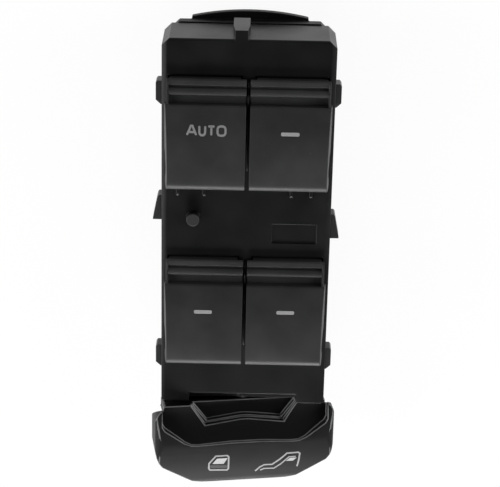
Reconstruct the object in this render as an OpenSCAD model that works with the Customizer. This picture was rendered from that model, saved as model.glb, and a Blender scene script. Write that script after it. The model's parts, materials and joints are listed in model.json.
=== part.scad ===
// Driver's window switch module: four push-pull paddles and a window lock-out rocker on a clip-in housing.
// The module stands on its base. X runs across it, Y forward along it and Z up.

/* [Housing] */
// Width of the housing across its side walls
housing_w = 41.6; // [40.6:0.1:46]
// Front end of the housing, forward of the origin
housing_front = 51.9; // [50:0.1:56]
// Rear end of the full-width housing, behind the origin
housing_rear = 44; // [43.5:0.1:46]
// Height of the deck above the surface that the module stands on
deck_z = 22; // [21.8:0.1:24]
// Thickness of the deck
deck_t = 1.6; // [1.2:0.1:2]
// Thickness of the side walls and end walls
wall = 1.5; // [1.2:0.1:1.8]
// Chamfer of the housing's upright front corners
corner_chamfer = 1.8; // [1:0.1:3]
// Thickness of the floor under the paddles
floor_t = 1.4; // [1:0.1:2]
// Depth of the paddle wells below the deck
well_depth = 4; // [3.8:0.1:4.6]
// Width of the rib on the front end wall
rib_w = 4; // [3.4:0.1:6]
// Width of the rib at the deck
rib_top_w = 3.1; // [2.4:0.1:3.4]
// Height of the rib
rib_h = 11.6; // [9:0.1:13]
// Height of the rib's narrowing upper part
rib_taper = 4.8; // [2:0.1:6]
// Distance that the rib stands out from the front end wall
rib_out = 2.2; // [1:0.1:3]
// Offset of the rib from the middle of the housing
rib_x = -1.9; // [-8:0.1:8]
// Diameter of the locating post on the deck
post_d = 3.2; // [2.5:0.1:4]
// Height of the locating post above the deck
post_h = 2.4; // [1.5:0.1:3]
// Thickness of the shelf that carries the rocker
shelf_t = 1.3; // [1:0.1:1.6]
// Breadth of the chamfer along the deck's edges
deck_chamfer = 1.1; // [0.6:0.1:1.2]
// Depth of the chamfer along the deck's edges
deck_chamfer_h = 0.4; // [0.3:0.1:1]
// Place of the locating post across the deck
post_x = -13; // [-16:0.1:-8]
// Place of the locating post along the deck
post_y = 6.8; // [4:0.1:10]

/* [Side lugs] */
// Length of the square lugs along the side walls
lug_len = 5.9; // [4:0.1:8]
// Height of every lug
lug_h = 4; // [3:0.1:5]
// Distance from the deck down to the top of the lugs
lug_drop = 2; // [1:0.1:4]
// Distance that the square lugs stand out
lug_out = 1.5; // [1:0.1:2]
// Front end of the forward lugs
lug_front_y = 40.8; // [36:0.1:44]
// Front end of the rearward lugs
lug_rear_y = -29.2; // [-32:0.1:-26]
// Length of the wedge hooks
hook_len = 6.4; // [5:0.1:8]
// Distance that the wedge hooks stand out
hook_out = 2.2; // [1.8:0.1:3]
// Front end of the left wedge hook
hook_left_y = 11.5; // [8:0.1:14]
// Front end of the right wedge hook
hook_right_y = 7.4; // [6:0.1:12]

/* [Paddles] */
// Length of a paddle from its front ledge to its lip
paddle_len = 26.5; // [25:0.1:28]
// Front edge of the forward paddle row
row_front = 42.5; // [41:0.1:43.5]
// Distance from the forward row to the rearward row
row_pitch = 46.5; // [45.5:0.1:48]
// Clear gap between the left and right paddles
paddle_gap = 1; // [0.9:0.1:1.6]
// Distance from the front ledge back to the pivot
pivot_t = 7.5; // [7:0.1:8.5]
// Depth of the pivot axis below the deck
pivot_drop = 1.9; // [1.8:0.05:2.2]
// Diameter of the paddle trunnions
trunnion_d = 2.4; // [2:0.1:2.6]
// Distance from the front ledge back to the start of the finger face
face_t = 6.1; // [5.8:0.1:6.6]
// Height of the finger face above the deck at its front edge
face_h = 3.1; // [2.8:0.1:3.6]
// Height of the crown of the lip above the deck
lip_h = 7; // [6.4:0.1:8]
// Radius of the rounded lip
lip_r = 1.9; // [1.6:0.1:2.2]
// Draft of the outer flank between its foot and the finger face
flank_draft = 1.1; // [0.4:0.1:1.6]
// Wall of the moulded paddle
paddle_wall = 1.3; // [1:0.1:1.6]
// Largest angle of a paddle each way
paddle_swing = 6; // [4:0.5:6.5]

/* [Plungers and domes] */
// Diameter of a plunger stem
plunger_d = 2.6; // [2.2:0.1:3]
// Diameter of a plunger foot
plunger_foot_d = 4.2; // [3.6:0.1:4.6]
// Thickness of a plunger foot
plunger_foot_t = 0.8; // [0.6:0.1:1.2]
// Distance from the front ledge back to the raising plunger
raise_t = 2.8; // [2.6:0.1:3.2]
// Distance from the front ledge back to the lowering plunger
lower_t = 13.6; // [13.2:0.1:14]
// Offset of the lowering plunger from the middle of its paddle
lower_x = 3.6; // [3.4:0.1:3.8]
// Thickness of the silicone mat
mat_t = 0.9; // [0.6:0.1:1.1]
// Base diameter of a dome
dome_d = 5.2; // [4.6:0.1:5.4]
// Top diameter of a dome
dome_top_d = 3; // [2.4:0.1:3.6]

/* [Circuit board] */
// Width of the circuit board
board_w = 33.4; // [33:0.1:33.8]
// Gap between the circuit board and the front end of the housing
board_setback = 4.4; // [4:0.1:5]
// Distance that the circuit board reaches behind the deck
board_reach = 6; // [5:0.1:6.6]
// Thickness of the circuit board
board_t = 1.6; // [1:0.1:1.8]
// Height of the board's underside above the base
board_z = 11; // [10.6:0.1:11.4]
// Diameter of a light guide
guide_d = 3; // [2.4:0.1:3.4]
// Distance from the front ledge back to the light guide
guide_t = 12.6; // [12:0.1:13]
// Width of the control chip
control_w = 7; // [5:0.1:9]
// Length of the control chip
control_l = 9; // [7:0.1:11]
// Width of the driver chip
driver_w = 5; // [4:0.1:7]
// Length of the driver chip
driver_l = 8; // [6:0.1:9]
// Thickness of the chips
chip_t = 1.35; // [1:0.05:1.6]
// Length of a resistor
resistor_l = 1.6; // [1:0.1:2.4]
// Width of a resistor
resistor_w = 1.2; // [0.8:0.1:1.4]
// Spacing of the resistors along the board
resistor_pitch = 2.6; // [2:0.1:3]
// Height of the resistors
resistor_h = 0.6; // [0.4:0.05:0.8]

/* [Connector] */
// Width of the connector socket inside its shroud
socket_w = 24; // [22:0.1:26]
// Breadth of the connector socket along the module
socket_l = 9; // [8:0.1:11]
// Wall of the connector shroud
socket_wall = 1.4; // [1:0.1:1.8]
// Middle of the connector socket along the module
socket_y = 16; // [13:0.1:18]
// Spacing of the terminal pins
pin_pitch = 2.54; // [2.2:0.01:2.8]
// Terminal pins in each of the two rows
pin_count = 8; // [6:1:9]
// Side of a square terminal pin
pin_side = 0.64; // [0.5:0.01:0.8]
// Free height of the socket below the pin tips
pin_recess = 4.6; // [4.4:0.1:5]

/* [Base cover] */
// Thickness of the base floor
base_floor = 1.6; // [1.2:0.1:2]
// Wall of the base tub
base_wall = 1.5; // [1.2:0.1:1.8]
// Height of the top of the base flange
flange_z = 8; // [7.6:0.1:8.4]
// Thickness of the base flange
flange_t = 3; // [2:0.1:3.4]
// Distance that the flange stands out in front of the end wall
flange_out = 0.3; // [0.2:0.1:1]
// Chamfer of the flange's front corners
flange_chamfer = 3.6; // [2:0.1:5]
// Inset of the tub from the side walls
tub_inset = 2.6; // [2.4:0.1:3]
// Width of the front tongue
tongue_w = 28.5; // [22:0.1:32]
// Reach of the tongue's arc in front of the flange
tongue_out = 2.1; // [1.5:0.1:3.5]
// Thickness of the tongue
tongue_t = 2; // [1.4:0.1:3]

/* [Lock-out rocker] */
// Width of the rocker cap
cap_w = 46.6; // [45:0.1:49]
// Length of the rocker cap
cap_len = 22.4; // [21.6:0.1:23]
// Length of the blend at the rocker cap's rear corners
cap_corner = 12.5; // [10:0.1:14]
// Height of the crescent's crown above the deck
cap_rise = 2.4; // [1.8:0.1:3]
// Depth of the bowl below the deck
bowl_drop = 0.6; // [0.4:0.1:1]
// Breadth of the crescent at the middle of the cap
crescent = 12.2; // [11.4:0.1:13]
// Wall of the moulded cap
cap_wall = 1.6; // [1.3:0.1:1.8]
// Height of the cap's outer skirt
cap_skirt = 9.4; // [8.6:0.1:10]
// Width of the notch at the front edge of the cap
notch_w = 27.4; // [24:0.1:29]
// Width of the notch at its rear wall
notch_rear_w = 20.6; // [18:0.1:22]
// Length of the notch in the cap
notch_len = 5.6; // [4.8:0.1:6.2]
// Height of the step half way up the notch's walls
notch_step_h = 1.3; // [0.8:0.1:1.6]
// Breadth of the step in the notch's walls
notch_step = 0.6; // [0.3:0.1:0.8]
// Thickness of the notch's floor and walls
notch_t = 1.2; // [0.8:0.1:1.4]
// Height of the step from the bowl up to the crescent
rim_step = 0.5; // [0.3:0.1:0.8]
// Depth of the hinge pin below the deck
lock_pin_drop = 4.6; // [4.4:0.1:4.8]
// Distance from the cap's front edge back to the pin's rear ear
pin_reach = 14.2; // [13.6:0.1:14.6]
// Diameter of the hinge pin
lock_pin_d = 2; // [1.6:0.1:2.2]
// Outer diameter of the cap's hinge barrel
barrel_d = 3.6; // [3.4:0.1:3.8]
// Tilt of the cap in each latched position
lock_tilt = 9; // [7:0.5:9.5]

/* [Lock-out switch] */
// Width of the slide switch
switch_w = 10; // [9:0.1:12]
// Breadth of the slide switch along the module
switch_l = 5; // [4.5:0.1:6]
// Height of the slide switch
switch_h = 4; // [3.4:0.1:4.4]
// Side of the slide switch's square knob
knob = 2; // [1.6:0.1:2.2]
// Reach of the knob behind the switch
knob_out = 3.4; // [3:0.1:3.8]

/* [Clearances] */
// Running clearance of pins and plungers, on the radius
run_gap = 0.05; // [0.03:0.01:0.08]
// Small clearance between seated pieces
seat_gap = 0.2; // [0.1:0.05:0.3]
// Clearance between a paddle and the walls of its well
well_gap = 0.4; // [0.35:0.05:0.5]
// Gap between the housing and the rocker cap
cap_gap = 0.6; // [0.4:0.1:0.8]

/* [Hidden] */
$fn = 48;
eps = 0.01;

// Outer planes of the housing
side_x = housing_w / 2;
inner_x = side_x - wall;
// Paddle rows by their front edges, and the mirror sign of each side
rows = [row_front, row_front - row_pitch];
sides = [-1, 1];
// Widths of a paddle: the finger face overhangs the side wall, the skirt fits the well
face_in = paddle_gap / 2;
face_out = side_x - 0.7;
web = face_in + 1;
skirt_in = web + well_gap;
skirt_out = inner_x - well_gap;
ledge_out = face_out - 0.5;
paddle_mid = (face_in + face_out) / 2;
// Wells, measured back from a paddle's front ledge
well_front = 0.5;
skirt_end = 17;
well_end = skirt_end + 1;
well_floor = deck_z - well_depth;
skirt_foot = -2.7;
pivot_z = deck_z - pivot_drop;
boss_r = trunnion_d / 2 + 0.45;
// Stack from the board up to the paddle legs
board_top = board_z + board_t;
plunger_top = well_floor + 1;
foot_z = well_floor - floor_t - 1.1 - plunger_foot_t;
dome_h = foot_z - 0.02 - board_top - mat_t;
leg_foot = plunger_top + 0.08;
// Base cover
tub_x = side_x - tub_inset;
board_front = housing_front - board_setback;
board_rear = housing_rear + board_reach;
tub_front = housing_front - tub_inset;
tub_rear = -(housing_rear + cap_len - 5.9);
flange_front = housing_front + flange_out;
// Rocker cap
cap_front = -(housing_rear + cap_gap);
cap_top = deck_z + cap_rise;
bowl_z = deck_z - bowl_drop;
lock_pin_z = deck_z - lock_pin_drop;
shelf_x = side_x - 2.2;
shelf_z = board_top + seat_gap + shelf_t;
notch_rear = cap_front - notch_len;
front_wall_z = lock_pin_z + (shelf_z + 0.3 - lock_pin_z + shelf_x * sin(lock_tilt)) / cos(lock_tilt);
rear_ear = cap_front - pin_reach;
ear_t = 2;
ear_seat = 0.3;
shelf_rear = min(tub_rear - 0.6, rear_ear - ear_t - ear_seat);
fork_y = -(board_rear + knob_out / 2 + 0.6);
notch_floor = lock_pin_z + barrel_d / 2 + 0.1;
rim_y = cap_front - cap_len + crescent;
cap_low = cap_top - cap_skirt;
knob_z = board_z - switch_h / 2;
slot_w = 12;

// Points of an arc about [cx, cy], from angle a0 to a1
function arc(cx, cy, r, a0, a1, steps) =
    [for (i = [0:steps]) let (a = a0 + (a1 - a0) * i / steps) [cx + r * cos(a), cy + r * sin(a)]];

// Turns a profile drawn in Y and Z into a solid that runs across the module from x0 to x1
module across(x0, x1) {
    translate([x0, 0, 0]) rotate([90, 0, 90]) linear_extrude(x1 - x0) children();
}

// Turns a profile drawn in X and Z into a solid that runs along the module from y0 forward to y1
module along(y0, y1) {
    translate([0, y1, 0]) rotate([90, 0, 0]) linear_extrude(y1 - y0) children();
}

// Box between two corners
module block(low, high) {
    translate(low) cube(high - low);
}

// Upright round bar or hole
module post(x, y, z0, z1, d) {
    translate([x, y, z0]) cylinder(h = z1 - z0, d = d);
}

// Bar or hole across the module
module cross_bar(x0, x1, y, z, d) {
    translate([x0, y, z]) rotate([0, 90, 0]) cylinder(h = x1 - x0, d = d);
}

// Bar or hole along the module
module long_bar(y0, y1, z, d) {
    translate([0, y1, z]) rotate([90, 0, 0]) cylinder(h = y1 - y0, d = d);
}

// Plan of the housing or its hollow, drawn in from the outer walls by a given inset
module housing_plan(inset) {
    c = corner_chamfer;
    x = side_x - inset;
    f = housing_front - inset;
    r = -housing_rear + inset;
    polygon([[-x, r], [x, r], [x, f - c], [x - c, f], [c - x, f], [-x, f - c]]);
}

// Plan of the low shelf that carries the rocker, with rounded rear corners
module shelf_plan(inset) {
    x = shelf_x - inset;
    r = 9;
    y = shelf_rear + inset;
    polygon(concat(
        [[x, -housing_rear + wall], [-x, -housing_rear + wall]],
        arc(-x + r, y + r, r, 180, 270, 10),
        arc(x - r, y + r, r, 270, 360, 10)));
}

// Square lug on a side wall, with its rear corner chamfered
module square_lug(side, y) {
    top = deck_z - lug_drop;
    translate([0, 0, top - lug_h]) linear_extrude(lug_h)
        polygon([
            [side * (side_x - eps), y], [side * (side_x + lug_out - 0.4), y], [side * (side_x + lug_out), y - 0.5],
            [side * (side_x + lug_out), y - lug_len + 1.1], [side * (side_x + 0.3), y - lug_len],
            [side * (side_x - eps), y - lug_len]
        ]);
}

// Wedge hook on a side wall, thickest at its rear end
module wedge_hook(side, y) {
    top = deck_z - lug_drop;
    translate([0, 0, top - lug_h]) linear_extrude(lug_h)
        polygon([
            [side * (side_x - eps), y], [side * (side_x + hook_out / 2 - 0.3), y],
            [side * (side_x + hook_out / 2), y - 0.4],
            [side * (side_x + hook_out), y - hook_len + 0.4], [side * (side_x + hook_out), y - hook_len],
            [side * (side_x - eps), y - hook_len]
        ]);
}

// Snap windows along the side walls, one for each hook of the base cover
snap_y = [34, 6, -22];
snap_w = 6;
snap_low = flange_z + 2.6;
snap_h = 2.4;

module snap_windows() {
    for (side = sides, y = snap_y)
        block([side > 0 ? inner_x - eps : -side_x - eps, y - snap_w / 2, snap_low],
              [side > 0 ? side_x + eps : -inner_x + eps, y + snap_w / 2, snap_low + snap_h]);
}

// Well of one paddle: cavity, plunger holes, light guide hole and trunnion bores
module well_cavity(side, front) {
    low = side > 0 ? web : -inner_x;
    high = side > 0 ? inner_x : -web;
    block([low, front - well_end, well_floor], [high, front + well_front, deck_z + eps]);
    x = side * paddle_mid;
    hole = plunger_d + 2 * run_gap;
    post(x, front - raise_t, well_floor - floor_t - eps, well_floor + eps, hole);
    post(x + side * lower_x, front - lower_t, well_floor - floor_t - eps, well_floor + eps, hole);
    post(x, front - guide_t, well_floor - floor_t - eps, well_floor + eps, guide_d + 2 * run_gap);
}

// Solid around a pair of wells, under the deck
module well_block(front) {
    block([-inner_x - eps, front - well_end - wall, well_floor - floor_t],
          [inner_x + eps, front + well_front + wall, deck_z - deck_t / 2]);
}

// Low fin between the left and right paddles
module fin(front) {
    half = face_in - 0.3;
    across(-half, half) polygon([
        [front - 1, deck_z - eps], [front - 1.6, deck_z + 0.8], [front - 6, deck_z + 1.2],
        [front - 20, deck_z + 3], [front - 22.5, deck_z + 2.6], [front - 23.4, deck_z - eps]
    ]);
}

module housing() {
    color([0.07, 0.07, 0.075]) {
        difference() {
            union() {
                difference() {
                    translate([0, 0, flange_z]) linear_extrude(deck_z - flange_z) housing_plan(0);
                    translate([0, 0, flange_z - eps]) linear_extrude(deck_z - deck_t - flange_z)
                        housing_plan(wall);
                }
                difference() {
                    translate([0, 0, flange_z]) linear_extrude(shelf_z - flange_z) shelf_plan(0);
                    translate([0, 0, flange_z - eps]) linear_extrude(shelf_z - shelf_t - flange_z)
                        shelf_plan(wall);
                }
                for (front = rows) well_block(front);
                recess_walls();
                stop_ribs();
                rear_ear_block();
            }
            for (side = sides, front = rows) well_cavity(side, front);
            for (front = rows)
                cross_bar(-side_x - eps, side_x + eps, front - pivot_t, pivot_z, trunnion_d + 2 * run_gap);
            snap_windows();
            recess_cut();
            leg_slot();
            deck_recess();
            deck_edges();
            shelf_opening();
            long_bar(rear_ear - ear_t - eps, cap_front + 1.8, lock_pin_z, lock_pin_d + 2 * run_gap);
        }
        for (front = rows) fin(front);
        post(post_x, post_y, deck_z - eps, deck_z + post_h, post_d);
        for (side = sides) {
            square_lug(side, lug_front_y);
            square_lug(side, lug_rear_y);
        }
        wedge_hook(-1, hook_left_y);
        wedge_hook(1, hook_right_y);
        end_rib();
        lip_ribs();
    }
}

// Rib on the front end wall, narrower towards the deck
module end_rib() {
    low = deck_z - rib_h;
    half = rib_w / 2;
    top_half = rib_top_w / 2;
    along(housing_front - wall, housing_front + rib_out) polygon([
        [rib_x - half, low], [rib_x + half, low], [rib_x + half, deck_z - rib_taper],
        [rib_x + top_half, deck_z], [rib_x - top_half, deck_z], [rib_x - half, deck_z - rib_taper]
    ]);
}

// The deck's rear edge is cut back in line with the notch in the rocker cap
recess_len = 2.4;
ear_half = 3.1;

recess_floor = deck_z - 3;
recess_t = 1.3;

module recess_walls() {
    low = recess_floor - recess_t;
    front = -housing_rear + recess_len + wall;
    block([-notch_w / 2 - wall, -housing_rear, low], [notch_w / 2 + wall, front, recess_floor]);
    block([-notch_w / 2 - wall, -housing_rear + recess_len, low], [notch_w / 2 + wall, front, deck_z - eps]);
    for (side = sides)
        block([side > 0 ? notch_w / 2 : -notch_w / 2 - wall, -housing_rear, low],
              [side > 0 ? notch_w / 2 + wall : -notch_w / 2, front, deck_z - eps]);
}

// The middle of the recess keeps a round-topped ear over the front end of the hinge pin
module recess_cut() {
    difference() {
        block([-notch_w / 2, -housing_rear - eps, recess_floor],
              [notch_w / 2, -housing_rear + recess_len, deck_z + eps]);
        along(-housing_rear - 1, -housing_rear + recess_len + 1) ear_profile();
    }
}

module ear_profile() {
    r = lock_pin_d / 2 + 1.2;
    polygon(concat([[-ear_half, shelf_z - 1], [ear_half, shelf_z - 1], [r, lock_pin_z]],
        arc(0, lock_pin_z, r, 0, 180, 24)));
}

module rear_ear_block() {
    along(rear_ear - ear_t, rear_ear) ear_profile();
}

// Ribs that stop the rocker in its two latched positions
stop_x = 14;
stop_top = lock_pin_z + (bowl_z - cap_wall - lock_pin_z) * cos(lock_tilt) - stop_x * sin(lock_tilt) - 0.3;

module stop_ribs() {
    for (side = sides)
        block([side * stop_x - 0.7, cap_front - 12, shelf_z - eps], [side * stop_x + 0.7, cap_front - 7, stop_top]);
}

// Slot in the shelf for the rocker's leg
module leg_slot() {
    block([-slot_w / 2, fork_y - 2.2, shelf_z - shelf_t - 1], [slot_w / 2, fork_y + 2.2, shelf_z + eps]);
}

// Inside of the full-width housing opens into the shelf
module shelf_opening() {
    block([-shelf_x + wall, -housing_rear - 1, flange_z - eps], [shelf_x - wall, -housing_rear + wall + 1, shelf_z - shelf_t]);
}

// Shallow moulded panel in the deck between the rows
panel_low = [6.4, 0.2];
panel_high = [17.4, 5.2];
panel_depth = 0.35;

module deck_recess() {
    block([panel_low[0], panel_low[1], deck_z - panel_depth], [panel_high[0], panel_high[1], deck_z + eps]);
}

// Chamfers along the deck's side edges and its front edge
module deck_edges() {
    b = deck_chamfer;
    h = deck_chamfer_h;
    for (side = sides)
        along(-housing_rear - 1, housing_front + 1) polygon([
            [side * (side_x - b), deck_z], [side * (side_x - b), deck_z + 1],
            [side * (side_x + 1), deck_z + 1], [side * (side_x + 1), deck_z - h - h / b], [side * side_x, deck_z - h]
        ]);
    across(-side_x - 1, side_x + 1) polygon([
        [housing_front - h, deck_z], [housing_front - h, deck_z + 1], [housing_front + 1, deck_z + 1],
        [housing_front + 1, deck_z - h - 1], [housing_front, deck_z - h]
    ]);
}

// Small ribs on the deck behind the forward paddles' lips
lip_rib_x = [-16.8, -10.4, 10.9, 15.7];
lip_rib_w = 0.7;
lip_rib_h = 0.8;
lip_rib_l = 3;

module lip_ribs() {
    y = row_front - paddle_len - lip_rib_l - 0.6;
    for (x = lip_rib_x)
        across(x - lip_rib_w / 2, x + lip_rib_w / 2) polygon([
            [y, deck_z - eps], [y + 0.5, deck_z + lip_rib_h], [y + lip_rib_l - 0.3, deck_z + lip_rib_h],
            [y + lip_rib_l, deck_z - eps]
        ]);
}

// Plan of the base: full width under the housing, narrower under the shelf
module base_plan() {
    c = flange_chamfer;
    polygon([
        [-side_x, -housing_rear], [side_x, -housing_rear], [side_x, flange_front - c], [side_x - c, flange_front],
        [c - side_x, flange_front], [-side_x, flange_front - c]
    ]);
    shelf_plan(0);
}

module tub_plan(inset) {
    x = tub_x - inset;
    r = 6;
    y0 = tub_rear + inset;
    y1 = tub_front - inset;
    polygon(concat(
        arc(-x + r, y0 + r, r, 180, 270, 8), arc(x - r, y0 + r, r, 270, 360, 8),
        [[x, y1 - 1.5], [x - 1.5, y1], [1.5 - x, y1], [-x, y1 - 1.5]]));
}

// Places of the posts that the board rests on
board_posts = [42, 26, -10, -41];

module base_cover() {
    color([0.06, 0.06, 0.065]) {
        difference() {
            union() {
                linear_extrude(flange_z) tub_plan(0);
                translate([0, 0, flange_z - flange_t]) linear_extrude(flange_t) base_plan();
            }
            translate([0, 0, base_floor]) linear_extrude(flange_z) tub_plan(base_wall);
            socket_hole(0);
        }
        difference() {
            socket_hole(socket_wall);
            socket_hole(0);
        }
        for (side = sides, y = board_posts) post(side * 12, y, base_floor - eps, board_z, 4);
        tongue();
        for (side = sides, y = snap_y) snap_hook(side, y);
    }
}

// Shroud of the connector, or its hollow, from the base up to the board
module socket_hole(grow) {
    x = socket_w / 2 + grow;
    y = socket_l / 2 + grow;
    low = grow > 0 ? 0 : -eps;
    block([-x, socket_y - y, low], [x, socket_y + y, board_z - seat_gap + (grow > 0 ? 0 : eps)]);
}

// Tongue with an arc-shaped front edge
module tongue() {
    sag = 1.6;
    half = tongue_w / 2;
    r = (half * half + sag * sag) / (2 * sag);
    a = asin(half / r);
    top = flange_z - flange_t;
    translate([0, 0, top - tongue_t]) linear_extrude(tongue_t + eps)
        polygon(concat([[half, tub_front - 1], [-half, tub_front - 1]],
            arc(0, flange_front + tongue_out - r, r, 90 + a, 90 - a, 16)));
}

// Cantilever hook that clips into a snap window
module snap_hook(side, y) {
    low = snap_low + seat_gap;
    high = snap_low + snap_h - seat_gap;
    root = inner_x - seat_gap;
    along(y - snap_w / 2 + seat_gap, y + snap_w / 2 - seat_gap) polygon([
        [side * (root - 1.1), flange_z - eps], [side * root, flange_z - eps], [side * root, low],
        [side * (side_x - 0.3), low], [side * root, high], [side * (root - 1.1), high]
    ]);
}

module circuit_board() {
    color([0.1, 0.32, 0.16]) difference() {
        block([-board_w / 2, -board_rear, board_z], [board_w / 2, board_front, board_top]);
        for (i = [0:pin_count - 1], row = sides)
            block([pin_x(i) - pin_side / 2 - 0.1, pin_y(row) - pin_side / 2 - 0.1, board_z - eps],
                  [pin_x(i) + pin_side / 2 + 0.1, pin_y(row) + pin_side / 2 + 0.1, board_top + eps]);
    }
}

function pin_x(i) = (i - (pin_count - 1) / 2) * pin_pitch;
function pin_y(row) = socket_y + row * pin_pitch;

// Insulator block that fills the inner end of the socket
header_t = 2;

module connector_header() {
    color([0.09, 0.09, 0.09]) difference() {
        block([-socket_w / 2 + seat_gap, socket_y - socket_l / 2 + seat_gap, board_z - header_t],
              [socket_w / 2 - seat_gap, socket_y + socket_l / 2 - seat_gap, board_z]);
        for (i = [0:pin_count - 1], row = sides)
            block([pin_x(i) - pin_side / 2, pin_y(row) - pin_side / 2, board_z - header_t - eps],
                  [pin_x(i) + pin_side / 2, pin_y(row) + pin_side / 2, board_z + eps]);
    }
}

module terminal_pins() {
    color([0.78, 0.66, 0.36]) for (i = [0:pin_count - 1], row = sides)
        block([pin_x(i) - pin_side / 2, pin_y(row) - pin_side / 2, pin_recess],
              [pin_x(i) + pin_side / 2, pin_y(row) + pin_side / 2, board_top + 0.8]);
}

// Dome of the silicone mat, or its hollow
dome_wall = 0.6;
dome_crown = 0.8;

module dome(x, y) {
    translate([x, y, board_top + mat_t - eps]) cylinder(h = dome_h + eps, d1 = dome_d, d2 = dome_top_d);
}

module dome_hollow(x, y) {
    wide = dome_d - 2 * dome_wall;
    translate([x, y, board_top + mat_t - eps])
        cylinder(h = dome_h - dome_crown + eps, d1 = wide, d2 = dome_top_d - 2 * dome_wall);
    post(x, y, board_top - eps, board_top + mat_t, wide);
}

mat_edge = dome_d / 2 + 0.15;

module dome_mat(front) {
    color([0.75, 0.75, 0.72]) difference() {
        union() {
            block([-paddle_mid - lower_x - mat_edge, front - lower_t - mat_edge, board_top],
                  [paddle_mid + lower_x + mat_edge, front - raise_t + mat_edge, board_top + mat_t]);
            for (side = sides) {
                dome(side * paddle_mid, front - raise_t);
                dome(side * (paddle_mid + lower_x), front - lower_t);
            }
        }
        for (side = sides) {
            dome_hollow(side * paddle_mid, front - raise_t);
            dome_hollow(side * (paddle_mid + lower_x), front - lower_t);
            post(side * paddle_mid, front - guide_t, board_top - eps, board_top + mat_t + eps, guide_d + 1.6);
        }
    }
}

// Flat chip with gull-wing legs along both long sides
chip_leg_w = 0.36;
chip_leg_l = 1.2;
chip_leg_h = 0.5;
chip_lift = 0.15;

module chip(y, w, l, legs) {
    block([-w / 2, y - l / 2, board_top + chip_lift], [w / 2, y + l / 2, board_top + chip_lift + chip_t]);
    pitch = (l - 1) / (legs - 1);
    for (side = sides, i = [0:legs - 1]) {
        x = side * (w / 2 + chip_leg_l / 2 - 0.1);
        leg_y = y - (l - 1) / 2 + i * pitch;
        block([x - chip_leg_l / 2, leg_y - chip_leg_w / 2, board_top],
              [x + chip_leg_l / 2, leg_y + chip_leg_w / 2, board_top + chip_leg_h]);
    }
}

// The control chip and the resistors stand between the socket's pins and the rear dome mat
chip_y = socket_y - socket_l / 2 - 7.5;

module control_chip() {
    color([0.12, 0.12, 0.12]) chip(chip_y, control_w, control_l, 8);
}

module driver_chip() {
    color([0.12, 0.12, 0.12]) chip(10 - housing_rear, driver_w, driver_l, 6);
}

module resistors() {
    x = control_w / 2 + chip_leg_l + resistor_l + 2.2;
    color([0.2, 0.2, 0.22]) for (i = [-2:2], side = sides) {
        y = chip_y + i * resistor_pitch + 1;
        block([side * x - resistor_l / 2, y - resistor_w / 2, board_top],
              [side * x + resistor_l / 2, y + resistor_w / 2, board_top + resistor_h]);
    }
}

module lamps() {
    color([0.9, 0.9, 0.8]) for (side = sides, front = rows)
        block([side * paddle_mid - 1, front - guide_t - 0.7, board_top],
              [side * paddle_mid + 1, front - guide_t + 0.7, board_top + 0.8]);
}

// Clear rod that carries the lamp's light up into the paddle, with a collar on the well floor
module light_guide(side, front) {
    color([0.85, 0.9, 0.92, 0.5]) {
        post(side * paddle_mid, front - guide_t, board_top + 1.1, well_floor + 1.6, guide_d);
        post(side * paddle_mid, front - guide_t, well_floor, well_floor + 0.7, guide_d + 1);
    }
}

// Height of the finger face above the deck at a distance t behind the front ledge
crown_t = paddle_len - lip_r;
face_run = crown_t - face_t;
face_rise = lip_h - face_h;
face_r = (face_run * face_run + face_rise * face_rise) / (2 * face_rise);
function face_top(t) = lip_h - face_r + sqrt(face_r * face_r - (crown_t - t) * (crown_t - t));

// Side profile of the finger face, its lip and the finger hook under the lip
module face_profile(front) {
    function p(t, h) = [front - t, deck_z + h];
    steps = 14;
    polygon(concat(
        [p(pivot_t, 0.5), p(face_t, 0.5), p(face_t, face_h - 0.3)],
        [for (i = [0:steps]) let (t = face_t + 0.3 + (face_run - 0.3) * i / steps) p(t, face_top(t))],
        [for (a = [75:-15:-90]) p(crown_t + lip_r * cos(a), lip_h - lip_r + lip_r * sin(a))],
        [p(crown_t - 0.9, lip_h - 2 * lip_r + 0.25), p(crown_t - 1.8, lip_h - 2 * lip_r + 1.1),
         p(crown_t - 3.2, lip_h - 2 * lip_r + 1.3), p(skirt_end + 1.2, 2.9), p(skirt_end + 0.3, 1.75)]));
}

// Cross-section of the finger face, with the outer flank drafted inwards
module face_section() {
    polygon([
        [face_in, deck_z], [face_out, deck_z], [face_out, deck_z + 1.1],
        [face_out - flank_draft, deck_z + lip_h + 1], [face_in, deck_z + lip_h + 1]
    ]);
}

// Side profile of the skirt: front ledge, rounded ridge and the body below the finger face
module skirt_profile(front) {
    function p(t, h) = [front - t, deck_z + h];
    ridge_t = 3.2;
    ridge_r = 1.05;
    polygon(concat(
        [p(skirt_end, skirt_foot), p(0.4, skirt_foot), p(0, skirt_foot + 0.4), p(0, 1.3), p(0.3, 1.6), p(1.5, 1.75),
         p(1.75, 1.1), p(ridge_t - 1, 1.0)],
        [for (a = [165:-15:15]) p(ridge_t + ridge_r * cos(a), 1.2 + ridge_r * sin(a))],
        [p(ridge_t + 1.1, 0.9), p(face_t + 0.4, 0.8), p(face_t + 0.4, 1.6), p(skirt_end, 2.4)]));
}

// Side profile of the wide ledge and ridge: they overhang the deck and clear it when the paddle turns
module ledge_profile(front) {
    function p(t, h) = [front - t, deck_z + h];
    function foot(t) = (pivot_t - t) * sin(paddle_swing) + 0.12;
    ridge_t = 3.2;
    ridge_r = 1.05;
    back = face_t + 0.4;
    polygon(concat(
        [p(back, foot(back)), p(0, foot(0)), p(0, 1.3), p(0.3, 1.6), p(1.5, 1.75), p(1.75, 1.1), p(ridge_t - 1, 1.0)],
        [for (a = [165:-15:15]) p(ridge_t + ridge_r * cos(a), 1.2 + ridge_r * sin(a))],
        [p(ridge_t + 1.1, 0.9), p(back, 0.8)]));
}

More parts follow.
